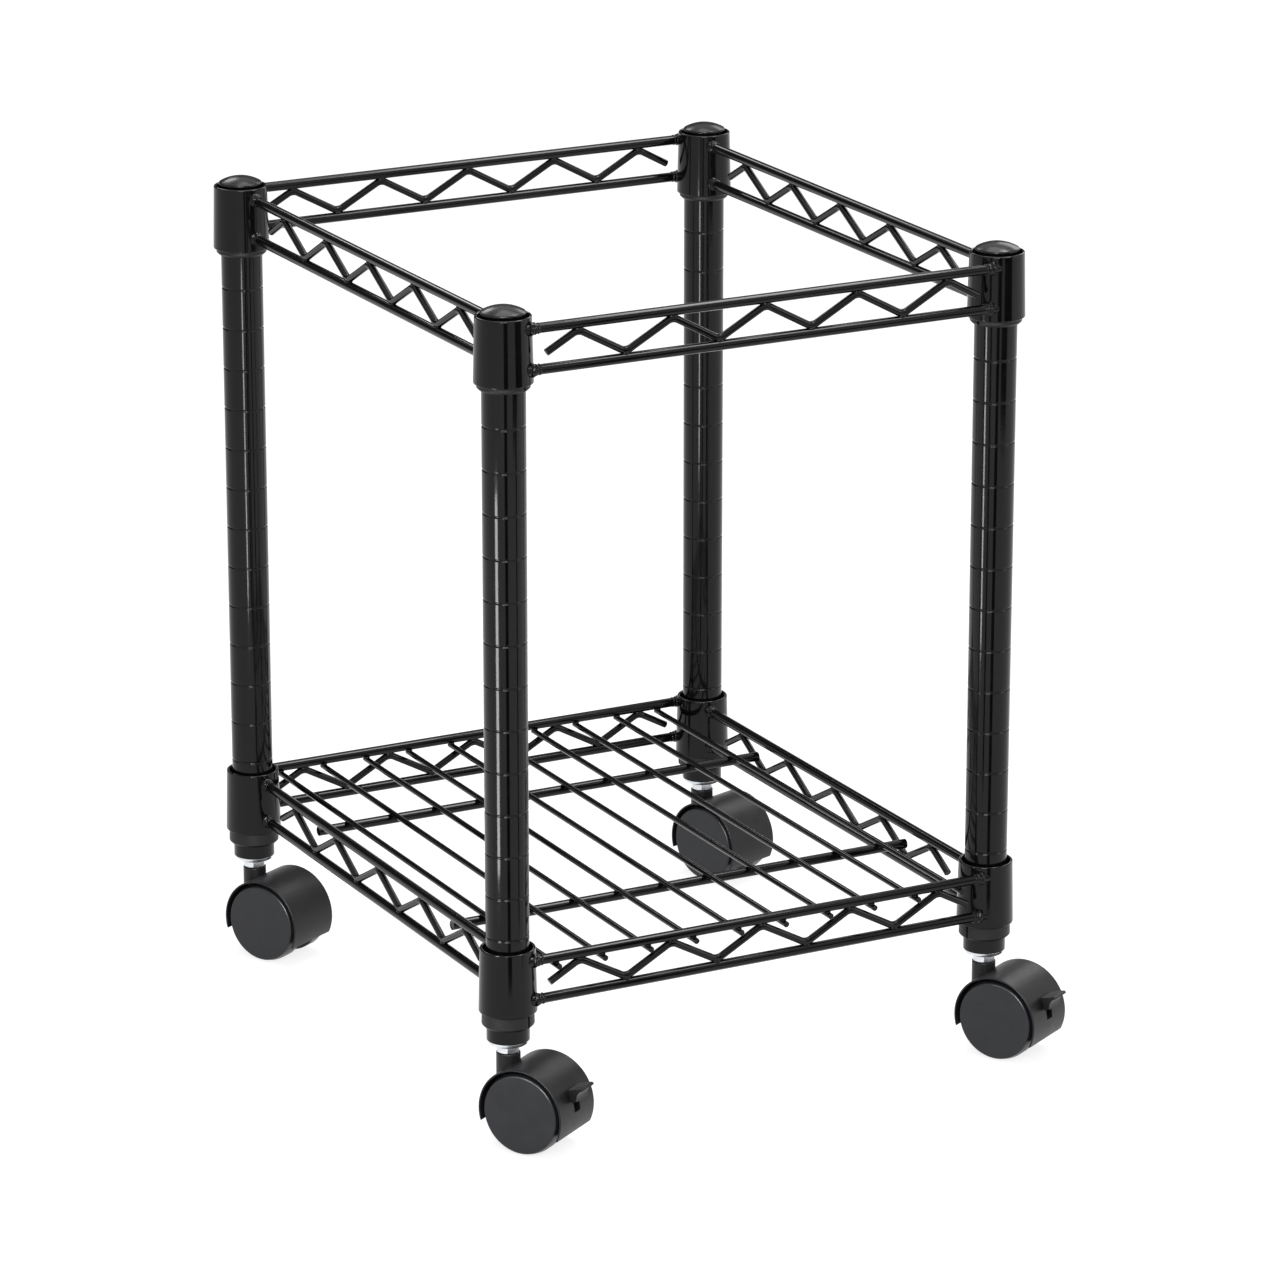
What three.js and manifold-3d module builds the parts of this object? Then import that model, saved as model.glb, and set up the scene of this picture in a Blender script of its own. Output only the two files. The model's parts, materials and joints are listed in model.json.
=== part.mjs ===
// Mobile file cart: four grooved tube posts carry a wire file frame at the top and a wire shelf
// below it, and stand on four twin-wheel casters, the front two with a brake lever.
// Millimetres. X runs along the front from left to right, Y from front to back, Z up from the floor.
import * as THREE from "three";
import { mergeVertices } from "three/addons/utils/BufferGeometryUtils.js";
import Module from "manifold-3d";

// Posts
const postSpacingX = 321.2; // centre to centre along the front
const postSpacingY = 359.3; // centre to centre from front to back
const postDiameter = 25.4;
const postWall = 1.2;
const postLength = 432.5;
const groovePitch = 25.4;
const grooveDepth = 0.5;
const grooveWidth = 2;
const topGrooveDrop = 13; // a post's upper end down to its first groove

// End caps in the posts
const capOverhang = 0.3; // cap's rim past a post's edge
const capRise = 5;
const capSpigot = 16; // length of the plug inside the tube
const capEdge = 1.6; // straight rim under the dome

// Sleeves that clip into a groove and wedge a frame on its post
const sleeveHeight = 39;
const sleeveBeadHeight = 30; // lower end up to the bead that sits in the groove
const sleeveTopWall = 1.35; // at the height of the collar's rim
const sleeveBottomWall = 2.3; // at the height of the collar's lower end
const sleeveChamfer = 1.4;
const sleeveSlit = 1.2; // open seam of the sleeve
const shelfClipHeight = 37.5; // a post's lower end up to the lowest groove that may carry the shelf

// Collars, the tapered corner rings of both frames
const collarHeight = 39;
const collarWall = 1.6;
const collarEdge = 0.7; // chamfer round the rim
const topCollarLift = 3.7; // a sleeve's lower end up to its collar's, in the top frame
const shelfCollarLift = 9; // the same on the shelf

// Rails: two straight wires with a zigzag wire welded between them
const railWireDiameter = 6;
const railDrop = 6.7; // a collar's rim down to the middle of the upper wire
const railWireSpacing = 23.9; // upper wire to lower wire
const frontRailOffset = 12.5; // front and back rails lie this far outside the post axes
const sideRailInset = 2.5; // left and right rails lie this far inside them
const zigzagWireDiameter = 4.4;
const zigzagPitch = 60; // from one upper bend to the next
const zigzagBend = 5; // length of wire that lies flat on a rail wire at each bend
const zigzagTail = 20; // outermost bend out to the free end
const weldDepth = 0.4; // how far welded wires sink into each other

// Shelf deck
const deckWireDiameter = 3.6;
const deckPitch = 30;
const deckOverhang = 0.3; // wire ends past the front and back rails
const crossWireDiameter = 6;
const crossWireOffset = 94; // middle of the shelf out to each cross wire

// Caster sockets in the posts, and the stems screwed into them
const flangeInset = 0.7; // a post's edge in to the flange's
const flangeHeight = 2.7;
const flangeRim = 2.2; // upright edge of the dished flange
const socketLength = 30;
const stemDiameter = 9.5;
const stemLength = 24; // shank above the hexagon
const hexAcrossFlats = 12.7;
const hexHeight = 4.6;
const pinDiameter = 8;
const pinLength = 22; // swivel pin below the hexagon

// Casters: twin wheels on one axle, under a hood that turns on the stem's pin
const casterTrail = 18.6; // stem axis back to the axle
const wheelDiameter = 50;
const wheelWidth = 11.75;
const wheelEdge = 1.6;
const wheelHubDiameter = 15;
const wheelRimWall = 4.5;
const wheelDiscWall = 4;
const axleDiameter = 6;
const axleReach = 7.5; // into each wheel
const hoodClearance = 1.5; // tread to hood
const hoodWall = 1.1;
const hoodFrontAngle = 197; // degrees, hood's end on the stem side
const hoodBackAngle = -26; // degrees, hood's end at the back
const webThickness = 13; // middle wall between the wheels
const webDrop = 9; // axle down to the middle wall's lower edge
const neckDiameter = 14.3;
const neckRise = 2.2; // hood's crown up to the top of the neck

// Brake lever on each front caster
const leverPivotBack = 10; // axle back to the lever's pivot
const leverPivotUp = 4.5; // axle up to the pivot
const leverAngle = 22; // degrees above level at rest, and its travel down to the locked stop
const leverThickness = 5.9;
const leverArmHeight = 5.6;
const leverPinDiameter = 3;
const leverPinReach = 1.8; // stub of the pivot on each side of the arm
const pedalWidth = 12;
const pedalLength = 10.6;
const pedalRise = 5.4; // arm's middle line up to the tread's inner edge
const pedalTipRise = 4.2; // arm's middle line up to the tread's tip
const pedalLip = 1.8; // length of the thin lip at the tip
const pedalLipThickness = 1.2;
const pedalHollow = 1; // depth of the hollow between the block's foot and the lip
const pedalGap = 1; // hood out to the pedal
const pedalRoot = 3.6; // foot of the block at the pedal's inner end, where the arm joins it

// Clearances
const fitGap = 0.3; // between seated pieces, and round pins and axles
const wheelGap = 0.6; // neck or middle wall to wheel, measured along the axle

// Fineness of round shapes
const postSides = 9;
const collarSides = 12;
const wheelSides = 14;
const wireSides = 6;
const pinSides = 8;
const hoodSteps = 11;
const domeSteps = 2;
const mergeDistance = 1e-4; // corners closer than this are one

const wasm = await Module();
wasm.setup();

// Heights that follow from the stack of pieces, from the floor up
const wheelRadius = wheelDiameter / 2;
const hoodInner = wheelRadius + hoodClearance;
const hoodOuter = hoodInner + hoodWall;
const neckTop = wheelRadius + hoodOuter + neckRise;
const hexBottom = neckTop + fitGap;
const flangeBottom = hexBottom + hexHeight + fitGap;
const postBottom = flangeBottom + flangeHeight + fitGap;
const postTop = postBottom + postLength;
const topGroove = postTop - topGrooveDrop;
const shelfSteps = Math.floor((topGroove - postBottom - shelfClipHeight) / groovePitch);
const shelfGroove = topGroove - shelfSteps * groovePitch;
const topSleeveBottom = topGroove - sleeveBeadHeight;
const shelfSleeveBottom = shelfGroove - sleeveBeadHeight;
const topCollarBottom = topSleeveBottom + topCollarLift;
const shelfCollarBottom = shelfSleeveBottom + shelfCollarLift;
const postRadius = postDiameter / 2;
const postBore = postRadius - postWall;
const sleeveBore = postRadius + fitGap;
const collarTopRadius = sleeveBore + sleeveTopWall + fitGap + collarWall;
const collarBottomRadius = sleeveBore + sleeveBottomWall + fitGap + collarWall;
const wheelStart = Math.max(neckDiameter, webThickness) / 2 + wheelGap;
const railRadius = railWireDiameter / 2;
const zigzagRadius = zigzagWireDiameter / 2;

// Materials
const powderCoat = new THREE.MeshStandardMaterial({ color: 0x141416, roughness: 0.25, metalness: 0.2 });
const sleevePlastic = new THREE.MeshStandardMaterial({ color: 0x1b1b1d, roughness: 0.6, metalness: 0 });
const capPlastic = new THREE.MeshStandardMaterial({ color: 0x161618, roughness: 0.35, metalness: 0 });
const casterPlastic = new THREE.MeshStandardMaterial({ color: 0x2a2a2d, roughness: 0.5, metalness: 0 });
const wheelPlastic = new THREE.MeshStandardMaterial({ color: 0x2d2d30, roughness: 0.55, metalness: 0 });
const chrome = new THREE.MeshStandardMaterial({ color: 0xd4d6d8, roughness: 0.12, metalness: 1 });
const axleSteel = new THREE.MeshStandardMaterial({ color: 0x9a9c9f, roughness: 0.3, metalness: 1 });

const radians = THREE.MathUtils.degToRad;

// A closed geometry as a solid, for joining and cutting
function solidFrom(geometry) {
  const bare = geometry.index ? geometry.toNonIndexed() : geometry.clone();
  bare.deleteAttribute("normal");
  bare.deleteAttribute("uv");
  const merged = mergeVertices(bare, mergeDistance);
  return new wasm.Manifold(
    new wasm.Mesh({
      numProp: 3,
      vertProperties: merged.attributes.position.array,
      triVerts: new Uint32Array(merged.index.array),
    }),
  );
}

// A solid back as a geometry
function geometryFrom(solid) {
  const mesh = solid.getMesh();
  const geometry = new THREE.BufferGeometry();
  geometry.setAttribute("position", new THREE.BufferAttribute(mesh.vertProperties, 3));
  geometry.setIndex(new THREE.BufferAttribute(mesh.triVerts, 1));
  geometry.computeVertexNormals();
  return geometry;
}

// The corner radius of a regular polygon whose flats lie at this radius
function flatsAt(radius, sides) {
  return radius / Math.cos(Math.PI / sides);
}

// A profile of [radius, height] points turned about Z
function turned(profile, sides) {
  const points = profile.map(([radius, height]) => new THREE.Vector2(radius, height));
  return new THREE.LatheGeometry(points, sides).rotateX(Math.PI / 2);
}

// A profile of [radius, distance] points turned about Y, with a flat at the bottom
function turnedOnAxle(profile, sides) {
  const points = profile.map(([radius, along]) => new THREE.Vector2(radius, along));
  return new THREE.LatheGeometry(points, sides, Math.PI / sides);
}

// A round rod along X, with flats above and below at its radius
function rodAlongX(length, radius, sides) {
  const corner = flatsAt(radius, sides);
  const rod = new THREE.CylinderGeometry(corner, corner, length, sides, 1, false, Math.PI / sides);
  return rod.rotateZ(Math.PI / 2);
}

// A round rod along Y
function rodAlongY(length, radius, sides) {
  return rodAlongX(length, radius, sides).rotateZ(Math.PI / 2);
}

// An outline of [x, z] points as a plate of this thickness, centred on the XZ plane
function plate(outline, thickness) {
  const shape = new THREE.Shape(outline.map(([x, z]) => new THREE.Vector2(x, z)));
  const options = { depth: thickness, bevelEnabled: false };
  return new THREE.ExtrudeGeometry(shape, options).rotateX(Math.PI / 2).translate(0, thickness / 2, 0);
}

// Points on an arc about the origin, angles in degrees
function arc(radius, from, to, steps) {
  return Array.from({ length: steps + 1 }, (_, i) => {
    const angle = radians(from + ((to - from) * i) / steps);
    return [radius * Math.cos(angle), radius * Math.sin(angle)];
  });
}

// A path with one ring of the wire at each of its points
class WirePath extends THREE.Curve {
  constructor(points) {
    super();
    this.points = points;
  }
  getPointAt(t, target = new THREE.Vector3()) {
    const last = this.points.length - 1;
    return target.copy(this.points[Math.round(t * last)]);
  }
  getTangentAt(t, target = new THREE.Vector3()) {
    const last = this.points.length - 1;
    const i = Math.round(t * last);
    const before = this.points[Math.max(i - 1, 0)];
    const after = this.points[Math.min(i + 1, last)];
    return target.subVectors(after, before).normalize();
  }
}

// A bent wire through these points, its flats in the plane of the bends
function bentWire(points, radius, sides) {
  const section = arc(flatsAt(radius, sides), 0, 360, sides).slice(0, sides);
  const shape = new THREE.Shape(section.map(([x, y]) => new THREE.Vector2(x, y)));
  const path = new WirePath(points);
  return new THREE.ExtrudeGeometry(shape, { extrudePath: path, steps: points.length - 1 });
}

// A tube post from its lower end at Z = 0, with V grooves at the pitch from the top down to the socket
function postGeometry() {
  const outside = [[postBore, 0], [postRadius, 0]];
  const firstGroove = postLength - topGrooveDrop;
  const count = Math.floor((firstGroove - socketLength) / groovePitch);
  for (let step = count; step >= 0; step--) {
    const middle = firstGroove - step * groovePitch;
    outside.push([postRadius, middle - grooveWidth / 2]);
    outside.push([postRadius - grooveDepth, middle]);
    outside.push([postRadius, middle + grooveWidth / 2]);
  }
  return turned([...outside, [postRadius, postLength], [postBore, postLength], [postBore, 0]], postSides);
}

// A domed cap, seated on a post's upper end at Z = 0
function capGeometry() {
  const spigot = postBore - fitGap;
  const rim = postRadius + capOverhang;
  const dome = arc(1, 0, 90, domeSteps).map(([across, up]) => [
    rim * across,
    fitGap + capEdge + (capRise - capEdge) * up,
  ]);
  dome[domeSteps][0] = 0;
  const plug = [[0, -capSpigot], [spigot, -capSpigot], [spigot, fitGap]];
  return turned([...plug, [rim, fitGap], ...dome], postSides);
}

// Radius of a collar's tapered outside, at a height above its lower end
function collarRadiusAt(height) {
  return collarBottomRadius + ((collarTopRadius - collarBottomRadius) * height) / collarHeight;
}

// A corner collar from its lower end at Z = 0
function collarGeometry() {
  const shoulder = collarHeight - collarEdge;
  return turned(
    [
      [collarRadiusAt(0) - collarWall, 0],
      [collarRadiusAt(0), 0],
      [collarRadiusAt(shoulder), shoulder],
      [collarRadiusAt(shoulder) - collarEdge, collarHeight],
      [collarRadiusAt(collarHeight) - collarWall, collarHeight],
      [collarRadiusAt(0) - collarWall, 0],
    ],
    collarSides,
  );
}

// A split sleeve from its lower end at Z = 0, fitted to a collar that starts collarLift above it.
// Its open seam faces -Y turned by seamAngle degrees about Z.
function sleeveGeometry(collarLift, seamAngle) {
  const bore = flatsAt(sleeveBore, collarSides);
  const outsideAt = (height) => collarRadiusAt(height - collarLift) - collarWall - fitGap;
  const ring = turned(
    [
      [bore, 0],
      [outsideAt(0) - sleeveChamfer, 0],
      [outsideAt(sleeveChamfer), sleeveChamfer],
      [outsideAt(sleeveHeight), sleeveHeight],
      [bore, sleeveHeight],
      [bore, sleeveBeadHeight + grooveWidth / 2],
      [bore - grooveDepth, sleeveBeadHeight],
      [bore, sleeveBeadHeight - grooveWidth / 2],
      [bore, 0],
    ],
    collarSides,
  );
  const seamReach = 2 * collarBottomRadius;
  const seam = new THREE.BoxGeometry(sleeveSlit, seamReach, sleeveHeight + 2 * fitGap);
  seam.translate(0, -seamReach / 2, sleeveHeight / 2).rotateZ(radians(seamAngle));
  return geometryFrom(solidFrom(ring).subtract(solidFrom(seam)));
}

// Middle line of a zigzag wire along X, between the upper and lower wires of a rail
function zigzagPoints(spacing, upper, lower) {
  const reach = spacing / 2 - collarBottomRadius - fitGap - zigzagTail;
  const sideBends = Math.floor(reach / zigzagPitch);
  const bendStep = zigzagPitch / 2;
  const points = [];
  for (let bend = -2 * sideBends; bend <= 2 * sideBends; bend++) {
    const height = bend % 2 === 0 ? upper : lower;
    points.push(new THREE.Vector3(bend * bendStep - zigzagBend / 2, 0, height));
    points.push(new THREE.Vector3(bend * bendStep + zigzagBend / 2, 0, height));
  }
  const slope = (upper - lower) / (bendStep - zigzagBend);
  const tailX = sideBends * zigzagPitch + zigzagTail;
  const tailZ = upper - (zigzagTail - zigzagBend / 2) * slope;
  return [new THREE.Vector3(-tailX, 0, tailZ), ...points, new THREE.Vector3(tailX, 0, tailZ)];
}

// A rail along X with its upper wire at Z = 0, coped round the collars at both ends.
// The collars' axes lie collarSide to the +Y side of the rail.
function railGeometry(spacing, collarSide) {
  const touch = railRadius + zigzagRadius - weldDepth;
  const zigzag = bentWire(zigzagPoints(spacing, -touch, touch - railWireSpacing), zigzagRadius, wireSides);
  const upperWire = solidFrom(rodAlongX(spacing, railRadius, wireSides));
  const lowerWire = upperWire.translate([0, 0, -railWireSpacing]);
  let rail = upperWire.add(lowerWire).add(solidFrom(zigzag));
  const bottom = railDrop - collarHeight;
  const room = turned(
    [
      [0, bottom],
      [collarRadiusAt(0) + fitGap, bottom],
      [collarRadiusAt(collarHeight) + fitGap, railDrop],
      [0, railDrop],
    ],
    collarSides,
  );
  for (const side of [-1, 1]) {
    rail = rail.subtract(solidFrom(room).translate([(side * spacing) / 2, collarSide, 0]));
  }
  return geometryFrom(rail);
}

// The shelf's deck, with the upper wires of its rails at Z = 0
function deckGeometry() {
  const deckRadius = deckWireDiameter / 2;
  const crossRadius = crossWireDiameter / 2;
  const deckZ = -railRadius - fitGap - deckRadius;
  const crossZ = deckZ - deckRadius - crossRadius + weldDepth;
  const deckLength = postSpacingY + 2 * (frontRailOffset + railRadius + deckOverhang);
  const room = postSpacingX / 2 - collarBottomRadius - fitGap - deckRadius;
  const perSide = Math.floor(room / deckPitch + 0.5);
  const crossLength = postSpacingX - 2 * (sideRailInset + railRadius + fitGap);
  const deckWire = solidFrom(rodAlongY(deckLength, deckRadius, wireSides));
  const crossWire = solidFrom(rodAlongX(crossLength, crossRadius, wireSides));
  let deck = crossWire.translate([0, -crossWireOffset, crossZ]);
  deck = deck.add(crossWire.translate([0, crossWireOffset, crossZ]));
  for (let i = -perSide; i < perSide; i++) {
    deck = deck.add(deckWire.translate([(i + 0.5) * deckPitch, 0, deckZ]));
  }
  return geometryFrom(deck);
}

// A stem socket from its flange's underside at Z = 0
function socketGeometry() {
  const bore = stemDiameter / 2 + fitGap;
  const flange = postRadius - flangeInset;
  const body = postBore - fitGap;
  const top = flangeHeight + socketLength;
  return turned(
    [
      [bore, 0],
      [hexAcrossFlats / 2, 0],
      [flange, flangeHeight - flangeRim],
      [flange, flangeHeight],
      [body, flangeHeight],
      [body, top],
      [bore, top],
      [bore, 0],
    ],
    postSides,
  );
}

// A caster stem: swivel pin, hexagon and shank, with the hexagon's underside at Z = 0
function stemGeometry() {
  const pin = pinDiameter / 2;
  const shank = stemDiameter / 2;
  const hexCorner = flatsAt(hexAcrossFlats / 2, 6);
  const middle = hexHeight / 2;
  const hexagon = turned([[0, 0], [hexCorner, 0], [hexCorner, hexHeight], [0, hexHeight]], 6);
  const lower = turned([[0, -pinLength], [pin, -pinLength], [pin, middle], [0, middle]], pinSides);
  const shankTop = hexHeight + stemLength;
  const upper = turned([[0, middle], [shank, middle], [shank, shankTop], [0, shankTop]], pinSides);
  return geometryFrom(solidFrom(hexagon).add(solidFrom(lower)).add(solidFrom(upper)));
}

// A wheel on the far side of its caster's middle, hollow towards it
function wheelGeometry() {
  const inner = wheelStart;
  const outer = inner + wheelWidth;
  const bore = flatsAt(flatsAt(axleDiameter / 2, pinSides) + fitGap, wheelSides);
  const boreEnd = inner + axleReach + fitGap;
  const hub = wheelHubDiameter / 2;
  const tread = flatsAt(wheelRadius, wheelSides);
  const rimInside = tread - wheelRimWall;
  const hollowEnd = outer - wheelDiscWall;
  return turnedOnAxle(
    [
      [0, boreEnd],
      [bore, boreEnd],
      [bore, inner],
      [hub, inner],
      [hub, hollowEnd],
      [rimInside, hollowEnd],
      [rimInside, inner],
      [tread, inner],
      [tread, outer - wheelEdge],
      [tread - wheelEdge, outer],
      [0, outer],
    ],
    wheelSides,
  );
}

// The space that the brake lever needs inside the hood, over its whole travel
function leverRoom() {
  const half = leverArmHeight / 2 + fitGap;
  const reach = hoodOuter + pedalLength;
  const up = radians(leverAngle);
  const outline = [
    [0, -half],
    [reach, -half],
    [reach * Math.cos(up) - half * Math.sin(up), reach * Math.sin(up) + half * Math.cos(up)],
    [-half * Math.sin(up), half * Math.cos(up)],
  ];
  const width = leverThickness + 2 * fitGap;
  const eye = rodAlongY(width, half, pinSides);
  const pinRoom = rodAlongY(width + 2 * leverPinReach, leverPinDiameter / 2 + fitGap, pinSides);
  const room = solidFrom(plate(outline, width)).add(solidFrom(eye)).add(solidFrom(pinRoom));
  return room.translate([leverPivotBack, 0, leverPivotUp]);
}

// A caster hood about its axle: curved cover, middle wall and neck, with bores for pin and axle
function hoodGeometry(hasBrake) {
  const hoodWidth = 2 * (wheelStart + wheelWidth);
  const cover = plate(
    [
      ...arc(hoodOuter, hoodBackAngle, hoodFrontAngle, hoodSteps),
      ...arc(hoodInner, hoodFrontAngle, hoodBackAngle, hoodSteps),
    ],
    hoodWidth,
  );
  const wallArc = arc(hoodInner + hoodWall / 2, hoodBackAngle, hoodFrontAngle, hoodSteps);
  const web = plate([...wallArc, [0, -webDrop]], webThickness);
  const neckRadius = neckDiameter / 2;
  const neckUp = neckTop - wheelRadius;
  const neck = turned([[0, 0], [neckRadius, 0], [neckRadius, neckUp], [0, neckUp]], pinSides);
  const pinRoom = flatsAt(pinDiameter / 2 + fitGap, pinSides);
  const pinEnd = hexBottom - pinLength - fitGap - wheelRadius;
  const above = neckUp + hexHeight;
  const pinBore = turned([[0, pinEnd], [pinRoom, pinEnd], [pinRoom, above], [0, above]], pinSides);
  const axleBore = rodAlongY(hoodWidth, axleDiameter / 2 + fitGap, pinSides);
  let hood = solidFrom(cover).add(solidFrom(web));
  hood = hood.add(solidFrom(neck.translate(-casterTrail, 0, 0)));
  hood = hood.subtract(solidFrom(pinBore.translate(-casterTrail, 0, 0)));
  hood = hood.subtract(solidFrom(axleBore));
  if (hasBrake) hood = hood.subtract(leverRoom());
  return geometryFrom(hood);
}

// A brake lever about its pivot, its arm along X: eye, arm, pivot stubs and a pedal with a hollow underside
function leverGeometry() {
  const half = leverArmHeight / 2;
  const pivotRadius = Math.hypot(leverPivotBack, leverPivotUp);
  const pivotBearing = Math.atan2(leverPivotUp, leverPivotBack) - radians(leverAngle);
  const hoodAway =
    Math.sqrt(hoodOuter ** 2 - (pivotRadius * Math.sin(pivotBearing)) ** 2) -
    pivotRadius * Math.cos(pivotBearing);
  const root = hoodAway + pedalGap;
  const tip = root + pedalLength;
  const foot = root + pedalRoot;
  const lip = tip - pedalLip;
  const lipUnder = pedalTipRise - pedalLipThickness;
  const slope = Math.hypot(lip - foot, lipUnder + half);
  const hollow = [
    (foot + lip) / 2 - (pedalHollow * (lipUnder + half)) / slope,
    (lipUnder - half) / 2 + (pedalHollow * (lip - foot)) / slope,
  ];
  const arm = plate([[0, -half], [foot, -half], [foot, half], [0, half]], leverThickness);
  const eye = rodAlongY(leverThickness, half, pinSides);
  const stubs = rodAlongY(leverThickness + 2 * leverPinReach, leverPinDiameter / 2, pinSides);
  const pedal = plate(
    [
      [root, -half],
      [foot, -half],
      hollow,
      [lip, lipUnder],
      [tip, lipUnder],
      [tip, pedalTipRise],
      [root, pedalRise],
    ],
    pedalWidth,
  );
  return geometryFrom(solidFrom(arm).add(solidFrom(eye)).add(solidFrom(stubs)).add(solidFrom(pedal)));
}

// A named piece in a group
function addPiece(group, name, geometry, material, x = 0, y = 0, z = 0, turn = 0) {
  const mesh = new THREE.Mesh(geometry, material.clone());
  mesh.name = name;
  mesh.position.set(x, y, z);
  mesh.rotation.z = turn;
  group.add(mesh);
  return mesh;
}

// One caster, standing under its post, with its wheels trailing at this angle in degrees from X
function addCaster(group, corner, x, y, trailAngle, hasBrake) {
  const axleLength = 2 * (wheelStart + axleReach);
  const caster = new THREE.Group();
  const heading = radians(trailAngle);
  const axleX = x + casterTrail * Math.cos(heading);
  caster.position.set(axleX, y + casterTrail * Math.sin(heading), wheelRadius);
  caster.rotation.z = heading;
  group.add(caster);
  addPiece(caster, `hood_${corner}`, hoodGeometry(hasBrake), casterPlastic);
  addPiece(caster, `axle_${corner}`, rodAlongY(axleLength, axleDiameter / 2, pinSides), axleSteel);
  addPiece(caster, `wheel_${corner}_far`, wheelGeometry(), wheelPlastic);
  addPiece(caster, `wheel_${corner}_near`, wheelGeometry(), wheelPlastic, 0, 0, 0, Math.PI);
  if (hasBrake) {
    const lever = addPiece(caster, `brake_lever_${corner}`, leverGeometry(), casterPlastic);
    lever.position.set(leverPivotBack, 0, leverPivotUp);
    lever.rotation.y = -radians(leverAngle);
  }
}

// One frame's four collars and four rails, with its collars' lower ends at this height
function addFrame(group, frame, corners, bottom) {
  for (const { corner, x, y } of corners) {
    addPiece(group, `${frame}_collar_${corner}`, collarGeometry(), powderCoat, x, y, bottom);
  }
  const wireZ = bottom + collarHeight - railDrop;
  const frontY = postSpacingY / 2 + frontRailOffset;
  const sideX = postSpacingX / 2 - sideRailInset;
  const quarter = Math.PI / 2;
  const longRail = railGeometry(postSpacingX, frontRailOffset);
  const sideRail = railGeometry(postSpacingY, -sideRailInset);
  addPiece(group, `${frame}_rail_front`, longRail, powderCoat, 0, -frontY, wireZ);
  addPiece(group, `${frame}_rail_back`, longRail, powderCoat, 0, frontY, wireZ, Math.PI);
  addPiece(group, `${frame}_rail_left`, sideRail, powderCoat, -sideX, 0, wireZ, -quarter);
  addPiece(group, `${frame}_rail_right`, sideRail, powderCoat, sideX, 0, wireZ, quarter);
}

const cart = new THREE.Group();
const corners = [
  { corner: "front_left", x: -1, y: -1, seam: 22.9, trailAngle: -56.9 },
  { corner: "front_right", x: 1, y: -1, seam: -76.8, trailAngle: -60.4 },
  { corner: "back_left", x: -1, y: 1, seam: 157.1, trailAngle: -61.7 },
  { corner: "back_right", x: 1, y: 1, seam: -103.2, trailAngle: -71.5 },
].map((c) => ({ ...c, x: (c.x * postSpacingX) / 2, y: (c.y * postSpacingY) / 2, hasBrake: c.y < 0 }));

addFrame(cart, "top", corners, topCollarBottom);
addFrame(cart, "shelf", corners, shelfCollarBottom);
addPiece(cart, "shelf_deck", deckGeometry(), powderCoat, 0, 0, shelfCollarBottom + collarHeight - railDrop);

for (const { corner, x, y, seam, trailAngle, hasBrake } of corners) {
  const topSleeve = sleeveGeometry(topCollarLift, seam);
  const shelfSleeve = sleeveGeometry(shelfCollarLift, seam);
  addPiece(cart, `post_${corner}`, postGeometry(), powderCoat, x, y, postBottom);
  addPiece(cart, `cap_${corner}`, capGeometry(), capPlastic, x, y, postTop);
  addPiece(cart, `top_sleeve_${corner}`, topSleeve, sleevePlastic, x, y, topSleeveBottom);
  addPiece(cart, `shelf_sleeve_${corner}`, shelfSleeve, sleevePlastic, x, y, shelfSleeveBottom);
  addPiece(cart, `stem_socket_${corner}`, socketGeometry(), chrome, x, y, flangeBottom);
  addPiece(cart, `stem_${corner}`, stemGeometry(), chrome, x, y, hexBottom);
  addCaster(cart, corner, x, y, trailAngle, hasBrake);
}

// The origin is the middle of the whole cart's outline, on the floor
const outline = new THREE.Box3().setFromObject(cart, true);
const middle = outline.getCenter(new THREE.Vector3());
cart.position.set(-middle.x, -middle.y, 0);

export default cart;
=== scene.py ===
import json
import math

import bpy
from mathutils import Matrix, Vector


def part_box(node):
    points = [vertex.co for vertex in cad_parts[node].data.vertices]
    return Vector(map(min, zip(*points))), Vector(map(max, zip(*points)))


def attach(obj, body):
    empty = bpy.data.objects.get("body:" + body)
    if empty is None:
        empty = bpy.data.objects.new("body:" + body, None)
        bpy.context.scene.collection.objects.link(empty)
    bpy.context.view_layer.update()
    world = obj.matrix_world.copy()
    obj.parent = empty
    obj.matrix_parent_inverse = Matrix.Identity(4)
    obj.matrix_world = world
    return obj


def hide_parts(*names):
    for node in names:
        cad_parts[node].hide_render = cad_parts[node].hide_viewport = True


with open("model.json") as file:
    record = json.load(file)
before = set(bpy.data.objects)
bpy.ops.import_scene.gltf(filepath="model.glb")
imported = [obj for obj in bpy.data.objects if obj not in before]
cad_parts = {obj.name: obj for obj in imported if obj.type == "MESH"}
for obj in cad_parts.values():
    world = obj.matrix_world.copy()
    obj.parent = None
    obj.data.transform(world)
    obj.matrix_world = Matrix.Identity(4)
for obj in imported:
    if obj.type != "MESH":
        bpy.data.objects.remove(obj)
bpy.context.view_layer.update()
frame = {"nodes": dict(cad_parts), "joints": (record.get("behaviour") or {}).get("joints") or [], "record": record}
print("frame loaded,", len(frame["nodes"]), "nodes")

mm = 0.001  # the dictionaries below are in millimetres and degrees
joinDistance = 0.001 * mm  # corners closer than this are one
# steps of a rounded edge, and the angles from which an edge is rounded or shaded as a sharp one
edges = {"steps": 3, "fineSteps": 2, "sharp": 35, "turnedSharp": 50, "endSharp": 60, "smooth": 38}
corners = ("front_left", "front_right", "back_left", "back_right")
frontCorners = ("front_left", "front_right")
levels = ("top", "shelf")
joints = {joint["name"]: joint for joint in frame["joints"]}
bodies = frame["record"]["behaviour"]["bodies"]
bodyOf = {node: body for body, nodes in bodies.items() for node in nodes}
postAxis = {corner: Vector(joints["swivel_" + corner]["pos_m"]) for corner in corners}
postSpacingX = (postAxis["front_right"].x - postAxis["front_left"].x) / mm
postSpacingY = (postAxis["back_left"].y - postAxis["front_left"].y) / mm


# tools of the bench

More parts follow.
